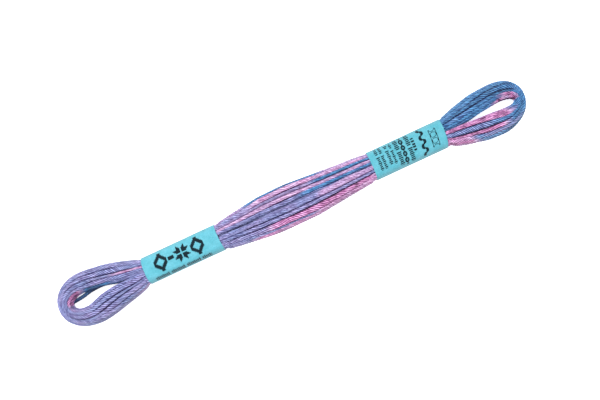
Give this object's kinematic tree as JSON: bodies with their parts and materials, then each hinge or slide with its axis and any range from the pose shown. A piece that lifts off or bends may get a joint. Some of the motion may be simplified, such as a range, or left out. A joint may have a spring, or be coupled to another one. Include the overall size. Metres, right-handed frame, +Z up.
{
  "type": "skein of embroidery floss",
  "caption": "Flat wound skein of stranded cotton embroidery floss with open looped ends, held by two plain-shaped paper bands.",
  "frame": {"origin": "on the surface that the skein lies on, under the middle of its outline", "axes": "+X along the skein, towards the end whose band is printed across; +Y across it, to the side of the slipped turn; +Z up"},
  "size_m": [0.165, 0.0178, 0.0062],
  "materials": {
    "floss": "stranded cotton with a soft sheen, space-dyed in lilac, blue and pink",
    "band_paper": "smooth turquoise paper with dark printed ornament"
  },
  "bodies": {
    "root": {"floss_hank": "floss", "paper_band_left": "band_paper", "paper_band_right": "band_paper"}
  },
  "joints": []
}
